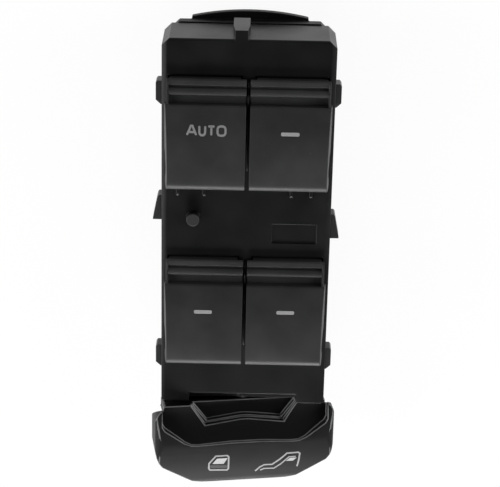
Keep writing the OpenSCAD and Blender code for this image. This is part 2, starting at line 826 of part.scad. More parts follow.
// Outer cheek that joins the ledge to the front of the finger face
module cheek_profile(front) {
    function p(t, h) = [front - t, deck_z + h];
    polygon([p(0.5, 1.2), p(0.7, 2.0), p(face_t + 0.5, face_h - 0.3), p(face_t + 0.5, 0.8), p(2, 0.9)]);
}

// Hollow of the paddle, open below
module paddle_hollow(front) {
    function p(t, h) = [front - t, deck_z + h];
    w = paddle_wall;
    steps = 8;
    t0 = face_t + 2.2;
    t1 = skirt_end - w;
    polygon(concat(
        [p(t1, skirt_foot - 1), p(w, skirt_foot - 1), p(w, -0.4), p(face_t + 0.4, -0.4)],
        [for (i = [0:steps]) let (t = t0 + (t1 - t0) * i / steps) p(t, face_top(t) - w - 0.2)]));
}

module paddle_solid(front) {
    y = front - pivot_t;
    intersection() {
        across(face_in, face_out) face_profile(front);
        along(front - paddle_len - 1, front) face_section();
    }
    across(skirt_in, skirt_out) skirt_profile(front);
    across(face_in, ledge_out) ledge_profile(front);
    across(ledge_out - 0.5, ledge_out) cheek_profile(front);
    cross_bar(skirt_in, skirt_out, y, pivot_z, 2 * boss_r);
    cross_bar(0.25, side_x - 0.3, y, pivot_z, trunnion_d);
}

module paddle_right(front) {
    mid = paddle_mid;
    difference() {
        paddle_solid(front);
        across(skirt_in + paddle_wall, skirt_out - paddle_wall) paddle_hollow(front);
    }
    paddle_leg(mid, front - raise_t, deck_z);
    paddle_leg(mid + lower_x, front - lower_t, deck_z + face_top(lower_t) - 1);
}

// Leg with a round tip that stands on a plunger
module paddle_leg(x, y, top) {
    r = plunger_d / 2;
    post(x, y, leg_foot + r, top, plunger_d);
    translate([x, y, leg_foot + r]) sphere(r = r);
}

module paddle(side, front) {
    color([0.2, 0.2, 0.205]) {
        if (side > 0) paddle_right(front);
        else mirror([1, 0, 0]) paddle_right(front);
    }
}

module plunger(x, y) {
    color([0.85, 0.85, 0.83]) {
        post(x, y, foot_z, plunger_top, plunger_d);
        post(x, y, foot_z, foot_z + plunger_foot_t, plunger_foot_d);
    }
}

module raise_plunger(side, front) {
    plunger(side * paddle_mid, front - raise_t);
}

module lower_plunger(side, front) {
    plunger(side * (paddle_mid + lower_x), front - lower_t);
}

// Plan of the rocker cap, drawn in from its outer edge by a given inset
module cap_plan(inset) {
    x = cap_w / 2 - inset;
    f = cap_front - inset;
    r = cap_front - cap_len + inset;
    k = cap_corner / 12.5;
    // Front corners: quarter ellipses
    sx = 2.4;
    sy = 4;
    shoulder = [for (a = [90:-15:0]) [sx - sx * cos(a), sy * sin(a) - sy]];
    // Rear corners: a long blend from the flank to the rear edge
    blend = [[0, 10.5], [0.35, 8.6], [1, 7.1], [1.8, 5.9], [9.5, 1.1], [12, 0.45], [15, 0.1], [17, 0]] * k;
    polygon(concat(
        [[-side_x + 0.2 + inset, f]],
        [for (q = shoulder) [-x + q[0], f - 0.2 + q[1]]],
        [for (p = blend) [-x + p[0], r + p[1]]],
        [for (i = [len(blend) - 1:-1:0]) [x - blend[i][0], r + blend[i][1]]],
        [for (i = [len(shoulder) - 1:-1:0]) [x - shoulder[i][0], f - 0.2 + shoulder[i][1]]],
        [[side_x - 0.2 - inset, f]]));
}

// Plan of the bowl between the crescent and the housing
module bowl_plan() {
    x = cap_w / 2 - 1.9;
    polygon([
        [-x, cap_front + 1], [-x, rim_y + 5.6], [-x + 0.6, rim_y + 4.5], [-x + 5.6, rim_y + 0.9],
        [-x + 7.4, rim_y + 0.1], [-x + 9, rim_y], [-4, rim_y + 0.4], [4, rim_y + 0.4], [x - 9, rim_y],
        [x - 7.4, rim_y + 0.1], [x - 5.6, rim_y + 0.9], [x - 0.6, rim_y + 4.5], [x, rim_y + 5.6], [x, cap_front + 1]
    ]);
}

// Side profile of the space over the dished bowl, which rises to the step at the crescent
module bowl_profile() {
    run = cap_front - 1 - rim_y;
    rise = cap_top - rim_step - bowl_z;
    r = (run * run + rise * rise) / (2 * rise);
    steps = 12;
    polygon(concat(
        [[cap_front + 1.5, cap_top + 2], [cap_front + 1.5, bowl_z]],
        [for (i = [0:steps]) let (d = run * i / steps) [cap_front - 1 - d, bowl_z + r - sqrt(r * r - d * d)]],
        [[rim_y - 1.5, cap_top - rim_step + 1], [rim_y - 1.5, cap_top + 2]]));
}

// Trapezoid of the notch, with its rear wall brought forward in the middle
module notch_plan(grow) {
    polygon([
        [-notch_w / 2 - grow, cap_front + 1], [-notch_w / 2 - grow, cap_front - 0.4],
        [-notch_rear_w / 2 - grow, notch_rear - grow], [-1, notch_rear + 1.2 - grow], [1, notch_rear + 1.2 - grow],
        [notch_rear_w / 2 + grow, notch_rear - grow], [notch_w / 2 + grow, cap_front - 0.4],
        [notch_w / 2 + grow, cap_front + 1]
    ]);
}

// Side profile of the cap: from the crown at the bowl's rim the crescent falls and rolls over to the rear
module cap_side_profile() {
    rear = cap_front - cap_len;
    fall = 1.3;
    roll = 2;
    run = rim_y - rear - roll;
    steps = 8;
    polygon(concat(
        [[cap_front + 1, cap_low], [cap_front + 1, cap_top - 1.2], [cap_front - 6, cap_top - 0.3], [rim_y + 1, cap_top]],
        [for (i = [0:steps]) let (u = i / steps) [rim_y - run * u, cap_top - fall * (0.35 * u + 0.65 * u * u)]],
        [for (a = [70:-14:0]) [rear + roll - roll * cos(a), cap_top - fall - roll + roll * sin(a)]],
        [[rear - 1, cap_top - fall - roll], [rear - 1, cap_low]]));
}

// Cross-section of the cap: both flanks roll over at the top
module cap_section() {
    x = cap_w / 2;
    r = 2;
    polygon(concat(
        [[x + 1, cap_low], [x + 1, cap_top - r]],
        [for (a = [0:15:90]) [x - r + r * cos(a), cap_top - r + r * sin(a)]],
        [for (a = [90:15:180]) [-x + r + r * cos(a), cap_top - r + r * sin(a)]],
        [[-x - 1, cap_top - r], [-x - 1, cap_low]]));
}

// The flanks' front edges rake back below the top, clear of the housing's side walls
module flank_rake() {
    rake = 0.62;
    top = cap_top - 1.8;
    for (side = sides)
        across(side > 0 ? side_x + 0.2 : -cap_w, side > 0 ? cap_w : -side_x - 0.2) polygon([
            [cap_front + 1, top], [cap_front - 0.3, top], [cap_front - 0.3 - rake * (top - cap_low + 1), cap_low - 1],
            [cap_front + 1, cap_low - 1]
        ]);
}

module cap_shell() {
    difference() {
        intersection() {
            translate([0, 0, cap_low]) linear_extrude(cap_skirt + 1) cap_plan(0);
            across(-cap_w, cap_w) cap_side_profile();
            along(cap_front - cap_len - 2, cap_front + 2) cap_section();
        }
        intersection() {
            translate([0, 0, cap_low]) linear_extrude(cap_skirt + 1) bowl_plan();
            across(-cap_w, cap_w) bowl_profile();
        }
        flank_rake();
        // The front wall stays above the shelf in both latched positions
        block([-shelf_x - 1.6, cap_front - cap_wall - 1, cap_low - 1], [shelf_x + 1.6, cap_front + 1, front_wall_z]);
        // Hollow under the bowl, and the deeper hollow under the crescent
        translate([0, 0, cap_low - 1]) linear_extrude(bowl_z - cap_wall - cap_low + 1) cap_plan(cap_wall);
        intersection() {
            translate([0, 0, cap_low - 1]) linear_extrude(cap_skirt - cap_wall - 0.8) cap_plan(cap_wall + 1.4);
            block([-cap_w, cap_front - cap_len, cap_low - 1], [cap_w, rim_y - 1, cap_top]);
        }
    }
}

module cap_level() {
    difference() {
        union() {
            cap_shell();
            // Pan of the notch, under the bowl
            intersection() {
                translate([0, 0, notch_floor - notch_t]) linear_extrude(bowl_z - notch_floor + notch_t)
                    notch_plan(notch_t);
                translate([0, 0, cap_low]) linear_extrude(cap_skirt) cap_plan(0);
            }
            long_bar(rear_ear + 0.5, cap_front - 0.4, lock_pin_z, barrel_d);
            block([-0.6, rear_ear + 0.5, lock_pin_z], [0.6, notch_rear, bowl_z - 0.5]);
        }
        translate([0, 0, notch_floor]) linear_extrude(cap_skirt) notch_plan(-notch_step);
        translate([0, 0, notch_floor + notch_step_h]) linear_extrude(cap_skirt) notch_plan(0);
        long_bar(rear_ear, cap_front + 1, lock_pin_z, lock_pin_d + 2 * run_gap);
    }
    lock_leg();
}

// Forked leg that drives the slide switch
module lock_leg() {
    half_t = 1.1;
    foot = knob_z - knob / 2 - 0.6;
    difference() {
        block([-knob / 2 - 1.2, fork_y - half_t, foot], [knob / 2 + 1.2, fork_y + half_t, lock_pin_z - lock_pin_d / 2 - 0.4]);
        block([-knob / 2 - 0.22, fork_y - half_t - 1, foot - 1],
              [knob / 2 + 0.22, fork_y + half_t + 1, knob_z + knob / 2 + 0.5]);
    }
}

module lock_rocker() {
    color([0.18, 0.18, 0.185])
        translate([0, 0, lock_pin_z]) rotate([0, lock_tilt, 0]) translate([0, 0, -lock_pin_z]) cap_level();
}

module lock_pin() {
    color("silver") long_bar(rear_ear - ear_t + 0.2, cap_front + 1.6, lock_pin_z, lock_pin_d);
}

// Slide switch on the underside of the board's rear edge
module lock_switch() {
    color([0.15, 0.15, 0.16]) difference() {
        block([-switch_w / 2, -board_rear, board_z - switch_h], [switch_w / 2, -board_rear + switch_l, board_z]);
        block([-knob / 2 - 2.6, -board_rear - eps, knob_z - knob / 2 - seat_gap],
              [knob / 2 + 2.6, -board_rear + 2, knob_z + knob / 2 + seat_gap]);
    }
}

// Knob of the slide switch, at the end of its travel that the latched rocker holds it in
module lock_slider() {
    x = -(lock_pin_z - knob_z) * sin(lock_tilt);
    color([0.8, 0.8, 0.78]) {
        block([x - knob / 2, -board_rear - knob_out, knob_z - knob / 2],
              [x + knob / 2, -board_rear + 1.6, knob_z + knob / 2]);
    }
}

housing();
base_cover();
circuit_board();
connector_header();
terminal_pins();
dome_mat(rows[0]);  // dome_mat_front
dome_mat(rows[1]);  // dome_mat_rear
control_chip();
driver_chip();
resistors();
lamps();
light_guide(-1, rows[0]);  // light_guide_front_left
light_guide(1, rows[0]);  // light_guide_front_right
light_guide(-1, rows[1]);  // light_guide_rear_left
light_guide(1, rows[1]);  // light_guide_rear_right
paddle(-1, rows[0]);  // paddle_front_left
paddle(1, rows[0]);  // paddle_front_right
paddle(-1, rows[1]);  // paddle_rear_left
paddle(1, rows[1]);  // paddle_rear_right
raise_plunger(-1, rows[0]);  // raise_plunger_front_left
raise_plunger(1, rows[0]);  // raise_plunger_front_right
raise_plunger(-1, rows[1]);  // raise_plunger_rear_left
raise_plunger(1, rows[1]);  // raise_plunger_rear_right
lower_plunger(-1, rows[0]);  // lower_plunger_front_left
lower_plunger(1, rows[0]);  // lower_plunger_front_right
lower_plunger(-1, rows[1]);  // lower_plunger_rear_left
lower_plunger(1, rows[1]);  // lower_plunger_rear_right
lock_rocker();
lock_pin();
lock_switch();
lock_slider();
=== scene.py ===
# %% [markdown]
# A driver's window switch, from bare solids to a picture.
# The solids of the switch arrive from its CAD model, each in its own place and size.
# This lesson gives them their finish: black grained plastic, satin paint, printed symbols and soft light.
# Nothing is moved or resized here, because the same model also has to work as a mechanism.

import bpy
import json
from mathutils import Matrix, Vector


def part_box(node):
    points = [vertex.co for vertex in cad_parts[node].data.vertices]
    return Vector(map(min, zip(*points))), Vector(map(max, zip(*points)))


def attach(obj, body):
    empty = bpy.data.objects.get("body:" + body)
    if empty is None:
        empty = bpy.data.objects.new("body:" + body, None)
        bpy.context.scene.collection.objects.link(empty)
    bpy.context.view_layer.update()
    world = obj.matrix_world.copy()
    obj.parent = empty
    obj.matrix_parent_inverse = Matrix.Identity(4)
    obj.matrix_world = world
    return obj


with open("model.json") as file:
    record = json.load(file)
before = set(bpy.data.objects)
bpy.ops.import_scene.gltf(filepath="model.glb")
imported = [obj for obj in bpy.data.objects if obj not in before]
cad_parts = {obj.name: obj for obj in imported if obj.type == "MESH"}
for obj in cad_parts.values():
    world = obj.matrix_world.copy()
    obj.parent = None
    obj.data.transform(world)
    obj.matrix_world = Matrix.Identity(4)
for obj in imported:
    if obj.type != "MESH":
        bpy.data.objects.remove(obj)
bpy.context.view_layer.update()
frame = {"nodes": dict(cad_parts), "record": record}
nodes = frame["nodes"]

# %% [markdown]
# Blender works in metres, and a switch is measured in millimetres.
# One factor turns the millimetres of the text into Blender's metres, so every size below reads as a real one.

# %% Millimetres
import json
import math

import bpy
from mathutils import Matrix, Vector
from mathutils.bvhtree import BVHTree

MM = 0.001
scene = bpy.context.scene

# %% [markdown]
# The photograph was taken from above, a little from the front end, and turned by about a degree.
# A camera could be aimed by trying rotations until the picture fits. Three directions of its own say more:
# to the right, up, and back from what it looks at. The tilt from overhead and the roll are all they need.

# %% Directions of the camera
tilt = math.radians(22.5)
roll = math.radians(1.24)


def camera_axes(tilt, roll):
    level_right = Vector((1, 0, 0))
    back = Vector((0, math.sin(tilt), math.cos(tilt)))
    level_up = back.cross(level_right)
    right = math.cos(roll) * level_right + math.sin(roll) * level_up
    return right, back.cross(right), back


right, up, back = camera_axes(tilt, roll)
print("back from the switch:", [round(part, 3) for part in back])

# %% [markdown]
# In the photograph the outline of the switch tapers towards its rear end. For a given tilt, the taper tells
# how near the camera stood, and the size of the switch in the picture then gives the lens, a long one.
# The three directions are the columns of the camera's matrix.

# %% Camera
sensor_mm = 36
photo_width_px = 500
focal_px = 1750
distance = 432 * MM
middle_of_deck = Vector((1.1 * MM, 0, 22 * MM))

camera_data = bpy.data.cameras.new("camera")
camera_data.sensor_width = sensor_mm
camera_data.lens = focal_px * sensor_mm / photo_width_px
camera_data.clip_start = 0.01
camera = bpy.data.objects.new("camera", camera_data)
scene.collection.objects.link(camera)
place = Matrix((right, up, back)).transposed().to_4x4()
place.translation = middle_of_deck + distance * back
camera.matrix_world = place
scene.camera = camera
print("lens in mm:", round(camera_data.lens, 1), "distance in mm:", round(distance / MM))

# %% [markdown]
# Black plastic has hardly any colour of its own, so what the eye reads is the reflection of the room.
# A light tent round the switch is pale near the horizon and dark overhead, where the camera looks in.
# The tent could be built from walls. A world with one gradient by height does the same without geometry,
# and it is the same for every kind of ray.

# %% Light tent
horizon_height, horizon_grey = 0.1, 0.6
overhead_height, overhead_grey = 0.65, 0.04

tent = bpy.data.worlds.new("light_tent")
tent.use_nodes = True
scene.world = tent
tree = tent.node_tree
tree.nodes.clear()
direction = tree.nodes.new("ShaderNodeTexCoord")
height = tree.nodes.new("ShaderNodeSeparateXYZ")
tree.links.new(direction.outputs["Generated"], height.inputs[0])
wall = tree.nodes.new("ShaderNodeValToRGB")
wall.color_ramp.elements[0].position = horizon_height
wall.color_ramp.elements[0].color = (horizon_grey, horizon_grey, horizon_grey, 1)
wall.color_ramp.elements[1].position = overhead_height
wall.color_ramp.elements[1].color = (overhead_grey, overhead_grey, overhead_grey, 1)
tree.links.new(height.outputs["Z"], wall.inputs["Fac"])
shine = tree.nodes.new("ShaderNodeBackground")
shine.inputs["Strength"].default_value = 1.0
tree.links.new(wall.outputs["Color"], shine.inputs["Color"])
output = tree.nodes.new("ShaderNodeOutputWorld")
tree.links.new(shine.outputs[0], output.inputs["Surface"])
scene.view_settings.view_transform = "Standard"
print("tent goes from", horizon_grey, "at the horizon to", overhead_grey, "overhead")

# %% [markdown]
# The photograph shows where its main light stood: the locating post shades the deck in front of it, and
# each paddle is darkest at its front. So a large low softbox stands behind the rear end.
# Weaker ones at both sides fill the shadows. A high lamp would light all of it at once, but it would also
# mirror itself in the deck, which has to stay dark.

# %% Softboxes


def softbox(name, azimuth, elevation, reach, side, power):
    lamp = bpy.data.lights.new(name, "AREA")
    lamp.shape = "SQUARE"
    lamp.size = side
    lamp.energy = power
    a, e = math.radians(azimuth), math.radians(elevation)
    offset = Vector((math.sin(a) * math.cos(e), math.cos(a) * math.cos(e), math.sin(e)))
    box = bpy.data.objects.new(name, lamp)
    scene.collection.objects.link(box)
    box.location = middle_of_deck + reach * offset
    box.rotation_euler = offset.to_track_quat("Z", "Y").to_euler()


softbox("softbox_rear", azimuth=180, elevation=16, reach=0.8, side=0.45, power=12.0)
softbox("softbox_left", azimuth=-100, elevation=26, reach=0.8, side=0.5, power=5.0)
softbox("softbox_right", azimuth=85, elevation=22, reach=0.8, side=0.5, power=4.0)

# %% [markdown]
# The switch lies on a sheet of white card. Card is matt and reflects about nine tenths of the light.
# Every finish in this lesson starts from the same few lines, so they are written once, as a helper.

# %% Card


def new_finish(name):
    finish = bpy.data.materials.new(name)
    finish.use_nodes = True
    shader = finish.node_tree.nodes["Principled BSDF"]
    return finish, finish.node_tree, shader


card, card_tree, card_shader = new_finish("white_card")
card_shader.inputs["Base Color"].default_value = (0.9, 0.9, 0.9, 1)
card_shader.inputs["Roughness"].default_value = 0.9
card_shader.inputs["Specular IOR Level"].default_value = 0.2
print("card reflects:", round(card_shader.inputs["Base Color"].default_value[0], 2))

# %% [markdown]
# In the picture the card is pure white. More light would do that, and it would also turn the switch grey.
# So the camera and the reflections see the card mostly as a white light, and the small rest of it is
# plain card that takes the shadow. The light path tells the two apart.

# %% White to the camera
white_share = 0.93

glow = card_tree.nodes.new("ShaderNodeEmission")
glow.inputs["Strength"].default_value = 1.0
ray = card_tree.nodes.new("ShaderNodeLightPath")
seen = card_tree.nodes.new("ShaderNodeMath")
seen.operation = "MAXIMUM"
card_tree.links.new(ray.outputs["Is Camera Ray"], seen.inputs[0])
card_tree.links.new(ray.outputs["Is Glossy Ray"], seen.inputs[1])
share = card_tree.nodes.new("ShaderNodeMath")
share.operation = "MULTIPLY"
share.inputs[1].default_value = white_share
card_tree.links.new(seen.outputs[0], share.inputs[0])
mix = card_tree.nodes.new("ShaderNodeMixShader")
card_tree.links.new(share.outputs[0], mix.inputs["Fac"])
card_tree.links.new(card_shader.outputs[0], mix.inputs[1])
card_tree.links.new(glow.outputs[0], mix.inputs[2])
card_tree.links.new(mix.outputs[0], card_tree.nodes["Material Output"].inputs["Surface"])
print("share of plain card in the picture:", round(1 - white_share, 2))

# %% [markdown]
# One plane is enough for the card.

# %% Floor
floor_side = 6

bpy.ops.mesh.primitive_plane_add(size=floor_side, location=(0, 0, 0))
floor = bpy.context.object
floor.name = "floor"
floor.data.materials.append(card)

# %% [markdown]
# Finish one: moulded plastic.
# The mould of a switch housing is spark-eroded, which leaves a fine matt grain on the plastic.
# The grain could be an image, but an image has a scale and seams of its own.
# Noise that is measured in millimetres on the object does the same at every place, so it is used here.

# %% Noise in millimetres


def in_millimetres(tree):
    where = tree.nodes.new("ShaderNodeTexCoord")
    scale = tree.nodes.new("ShaderNodeVectorMath")
    scale.operation = "SCALE"
    scale.inputs["Scale"].default_value = 1 / MM
    tree.links.new(where.outputs["Object"], scale.inputs[0])
    return scale.outputs["Vector"]


def noise(tree, where, grain_mm, detail=2.0):
    node = tree.nodes.new("ShaderNodeTexNoise")
    node.inputs["Scale"].default_value = 1 / grain_mm
    node.inputs["Detail"].default_value = detail
    tree.links.new(where, node.inputs["Vector"])
    return node.outputs["Fac"]


print("places are scaled by", round(1 / MM), "before the noise reads them")

# %% [markdown]
# Noise could drive a shader directly, but most of it lies in a narrow band round its middle.
# So each use stretches that band to the range it wants: a range of roughness, or two shades of one colour.
# For the grain the noise is a height, and a bump node turns it into a tilt of the surface.

# %% Noise into shade, gloss and grain
noise_low, noise_high = 0.3, 0.7


def spread(tree, fac, low, high):
    node = tree.nodes.new("ShaderNodeMapRange")
    node.inputs["From Min"].default_value = noise_low
    node.inputs["From Max"].default_value = noise_high
    node.inputs["To Min"].default_value = low
    node.inputs["To Max"].default_value = high
    tree.links.new(fac, node.inputs["Value"])
    return node.outputs["Result"]


def shade_between(tree, fac, dark, light):
    shades = tree.nodes.new("ShaderNodeValToRGB")
    shades.color_ramp.elements[0].position = noise_low
    shades.color_ramp.elements[0].color = (*dark, 1)
    shades.color_ramp.elements[1].position = noise_high
    shades.color_ramp.elements[1].color = (*light, 1)
    tree.links.new(fac, shades.inputs["Fac"])
    return shades.outputs["Color"]


def relief(tree, fac, depth_mm):
    bump = tree.nodes.new("ShaderNodeBump")
    bump.inputs["Strength"].default_value = 1.0
    bump.inputs["Distance"].default_value = depth_mm * MM
    tree.links.new(fac, bump.inputs["Height"])
    return bump.outputs["Normal"]


print("band of the noise in use:", noise_low, "to", noise_high)

# %% [markdown]
# A used switch is never quite clean: a few pale specks of dust lie on it, a tenth of a millimetre in size.
# They could be scattered as small meshes. A cell pattern costs nothing: each cell has one centre, and
# what lies close enough to it takes the colour of dust.

# %% Dust
dust_spacing_mm = 5.0
dust_speck_mm = 0.11


def dust(tree, where, under, shade):
    cells = tree.nodes.new("ShaderNodeTexVoronoi")
    cells.inputs["Scale"].default_value = 1 / dust_spacing_mm
    tree.links.new(where, cells.inputs["Vector"])
    speck = tree.nodes.new("ShaderNodeMath")
    speck.operation = "LESS_THAN"
    tree.links.new(cells.outputs["Distance"], speck.inputs[0])
    speck.inputs[1].default_value = dust_speck_mm / dust_spacing_mm
    mixed = tree.nodes.new("ShaderNodeMix")
    mixed.data_type = "RGBA"
    tree.links.new(speck.outputs[0], mixed.inputs["Factor"])
    tree.links.new(under, mixed.inputs["A"])
    mixed.inputs["B"].default_value = (*shade, 1)
    return mixed.outputs["Result"]


print("one speck of", dust_speck_mm, "mm in about every", dust_spacing_mm, "mm")

# %% [markdown]
# The parts come together in one recipe. Fine noise gives the grain, and slow noise varies the colour and
# the roughness, as handling does. Only the numbers differ from plastic to plastic: the housing is the
# smoothest of the black ones, the base under it is duller, and the plungers inside are white.

# %% Moulded plastic
handling_mm = 9.0
handling_detail = 3.0


def moulded(name, shade, grain_mm=0.12, depth_mm=0.006, rough=(0.42, 0.52), varied=0.25, gloss=0.5):
    finish, tree, shader = new_finish(name)
    where = in_millimetres(tree)
    slow = noise(tree, where, handling_mm, handling_detail)
    dark = tuple(c * (1 - varied) for c in shade)
    light = tuple(c * (1 + varied) for c in shade)
    clean = shade_between(tree, slow, dark, light)
    specks = tuple(c * 2 + 0.02 for c in shade)
    tree.links.new(dust(tree, where, clean, specks), shader.inputs["Base Color"])
    tree.links.new(spread(tree, slow, *rough), shader.inputs["Roughness"])
    grain = noise(tree, where, grain_mm)
    tree.links.new(relief(tree, grain, depth_mm), shader.inputs["Normal"])
    shader.inputs["IOR"].default_value = 1.5
    shader.inputs["Specular IOR Level"].default_value = gloss
    return finish


housing_plastic = moulded("housing_plastic", (0.006, 0.006, 0.0064), rough=(0.34, 0.41), gloss=0.25)
base_plastic = moulded("base_plastic", (0.005, 0.005, 0.005), rough=(0.4, 0.5), gloss=0.15)
header_plastic = moulded("header_plastic", (0.015, 0.015, 0.016), rough=(0.35, 0.45))
chip_plastic = moulded("chip_plastic", (0.02, 0.02, 0.02), grain_mm=0.06, depth_mm=0.003)
plunger_plastic = moulded("plunger_plastic", (0.72, 0.72, 0.68), depth_mm=0.003, varied=0.05)
plastics = (housing_plastic, base_plastic, header_plastic, chip_plastic, plunger_plastic)
print("moulded finishes:", len(plastics))

# %% [markdown]
# Finish two: satin paint.
# The paddles and the rocker cap are painted, because fingers touch them. The paint is paler than the
# bare plastic and hides its grain, so only a faint orange peel is left.
# Orange peel is the same recipe with a coarser and shallower grain, so no new one is needed.
# On the rounded edges of the cap a lighter grey is painted: a painted highlight along the edges.

# %% Satin paint
orange_peel_mm = 0.35

paddle_paint = moulded("paddle_paint", (0.038, 0.038, 0.039), grain_mm=orange_peel_mm, depth_mm=0.004,
                       rough=(0.38, 0.52), varied=0.15, gloss=0.1)
# Lighter grey for the rounded edges of the cap: a painted highlight.
edge_highlight_paint = moulded("edge_highlight_paint", (0.15, 0.15, 0.152), grain_mm=orange_peel_mm, depth_mm=0.003,
                     rough=(0.3, 0.38), varied=0.3, gloss=0.3)
rocker_paint = moulded("rocker_paint", (0.011, 0.011, 0.0115), grain_mm=orange_peel_mm, depth_mm=0.004,
                       rough=(0.42, 0.5), varied=0.1, gloss=0.1)
print("paint:", paddle_paint.name, rocker_paint.name, edge_highlight_paint.name)

# %% [markdown]
# Two finishes change from place to place on one solid: the lugs and post of the housing are painted paler
# as a painted highlight, and the bowl of the rocker cap is painted darker as painted shade. Each could be a
# second material on some faces, but both borders cross faces of the solid.
# So the border is a formula of the place in millimetres, written as a few small nodes of arithmetic.

# %% A formula of the place


def calculate(tree, operation, a, b=0.0):
    node = tree.nodes.new("ShaderNodeMath")
    node.operation = operation
    for socket, value in zip(node.inputs, (a, b)):
        if isinstance(value, (int, float)):
            socket.default_value = value
        else:
            tree.links.new(value, socket)
    return node.outputs[0]


def place_parts(tree):
    split = tree.nodes.new("ShaderNodeSeparateXYZ")
    tree.links.new(in_millimetres(tree), split.inputs[0])
    return split.outputs["X"], split.outputs["Y"], split.outputs["Z"]


print("finishes that get a border:", housing_plastic.name, rocker_paint.name)

# %% [markdown]
# The value of a formula grows from one side of the border to the other, and a border of a tenth or two of
# a millimetre looks neither cut nor blurred. Past it, a socket of the shader gets its other value.
# The other value could come from a second shader, mixed in. Swapping the value itself keeps one shader
# for the whole finish, which is what the exported model needs.

# %% A soft border


def soft_border(tree, value, start_mm, end_mm):
    edge = tree.nodes.new("ShaderNodeMapRange")
    edge.inputs["From Min"].default_value = start_mm
    edge.inputs["From Max"].default_value = end_mm
    tree.links.new(value, edge.inputs["Value"])
    return edge.outputs["Result"]


def swap_where(tree, inside, socket, data, other):
    mixed = tree.nodes.new("ShaderNodeMix")
    mixed.data_type = data
    factor, usual_in, other_in = [i for i in mixed.inputs if i.enabled][:3]
    tree.links.new(inside, factor)
    if socket.links:
        tree.links.new(socket.links[0].from_socket, usual_in)
    else:
        usual_in.default_value = socket.default_value
    other_in.default_value = other
    tree.links.new([o for o in mixed.outputs if o.enabled][0], socket)


highlight_border_mm = 0.2
mask_border_mm = 0.1
print("borders in mm:", highlight_border_mm, "where rubbed,", 2 * mask_border_mm, "round the mask")

# %% [markdown]
# The lugs, the hooks and the top of the post are painted paler than the deck, a painted highlight for the
# light they catch. They stand out past the plain body of the housing, sideways or upwards, and besides them
# only
# the deck. They stand out past the plain body of the housing, sideways or upwards, and besides them only
# the thin fins between the paddles do. That makes the formula short: how far a place lies past the side
# wall, or above a level over the deck. The deck is found from the fins, the highest place on the housing.

# %% Painted highlight on lugs and post
fins_above_deck = 3.0
highlight_above_deck = 1.6
past_wall = 0.1
side_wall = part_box("base_cover")[1].x / MM + past_wall
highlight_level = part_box("housing")[1].z / MM - fins_above_deck + highlight_above_deck


def paint_highlight_outside(finish, half_width, top, rubbed):
    tree = finish.node_tree
    shader = tree.nodes["Principled BSDF"]
    x, _, z = place_parts(tree)
    past_side = calculate(tree, "SUBTRACT", calculate(tree, "ABSOLUTE", x), half_width)
    past_top = calculate(tree, "SUBTRACT", z, top)
    outside = calculate(tree, "MAXIMUM", past_side, past_top)
    there = soft_border(tree, outside, 0.0, highlight_border_mm)
    swap_where(tree, there, shader.inputs["Base Color"], "RGBA", (*rubbed, 1))


# Paler colour on the lugs, hooks and post top: a painted highlight.
paint_highlight_outside(housing_plastic, half_width=side_wall, top=highlight_level, rubbed=(0.03, 0.03, 0.031))
print("rubbed past", round(side_wall, 2), "mm sideways and", round(highlight_level, 2), "mm up")

# %% [markdown]
# The bowl of the rocker cap is painted darker than its crescent, as painted shade in the hollow.
# The bowl is also smoother than paint, and it is the edges of the bowl and its notch that show it.
# The border follows the crescent's rim, which is straight in the middle and bends forward at both ends, and
# it stops short of the flanks.

# %% Bowl in painted shade
bowl_middle = 1.0
bowl_half_width = 21.2
rim_y = -54.6
rim_straight_half = 14.0
rim_bend = 0.72


def shade_bowl(finish, bowl_shade, rough, gloss):
    tree = finish.node_tree
    shader = tree.nodes["Principled BSDF"]
    x, y, _ = place_parts(tree)
    across = calculate(tree, "ABSOLUTE", calculate(tree, "SUBTRACT", x, bowl_middle))
    past_straight = calculate(tree, "MAXIMUM", calculate(tree, "SUBTRACT", across, rim_straight_half))
    bend = calculate(tree, "MULTIPLY", past_straight, rim_bend)
    ahead = calculate(tree, "SUBTRACT", y, calculate(tree, "ADD", bend, rim_y))
    inside = calculate(tree, "MINIMUM", ahead, calculate(tree, "SUBTRACT", bowl_half_width, across))
    there = soft_border(tree, inside, -mask_border_mm, mask_border_mm)
    swap_where(tree, there, shader.inputs["Base Color"], "RGBA", (*bowl_shade, 1))
    swap_where(tree, there, shader.inputs["Roughness"], "FLOAT", rough)
    swap_where(tree, there, shader.inputs["Specular IOR Level"], "FLOAT", gloss)


# The bowl is painted darker than the crescent: painted shade, with a smoother and glossier surface.
shade_bowl(rocker_paint, bowl_shade=(0.005, 0.005, 0.0055), rough=0.34, gloss=0.35)
print("bowl masked from y =", rim_y, "mm forward")

# %% [markdown]
# Finish three: what is inside.
# The board, its parts, the silicone mats and the clear light guides hardly show, but the model is taken
# apart on a screen as a real one is on a bench. Each gets its own colour, gloss and surface.
# Clear plastic lets light through with faint flow marks, and metal has a fine drawn grain instead of dust.

# %% Clear plastic and metal


def clear(name, shade, rough):
    finish, tree, shader = new_finish(name)
    where = in_millimetres(tree)
    flow = noise(tree, where, grain_mm=1.2)
    tree.links.new(spread(tree, flow, low=rough, high=rough + 0.06), shader.inputs["Roughness"])
    shader.inputs["Base Color"].default_value = (*shade, 1)
    shader.inputs["Transmission Weight"].default_value = 0.9
    shader.inputs["IOR"].default_value = 1.49
    return finish


def metal(name, shade, rough):
    finish, tree, shader = new_finish(name)
    where = in_millimetres(tree)
    drawn = noise(tree, where, grain_mm=0.08, detail=1.0)
    dark = tuple(c * 0.85 for c in shade)
    tree.links.new(shade_between(tree, drawn, dark, light=shade), shader.inputs["Base Color"])
    tree.links.new(spread(tree, drawn, low=rough, high=rough + 0.12), shader.inputs["Roughness"])
    shader.inputs["Metallic"].default_value = 1.0
    return finish


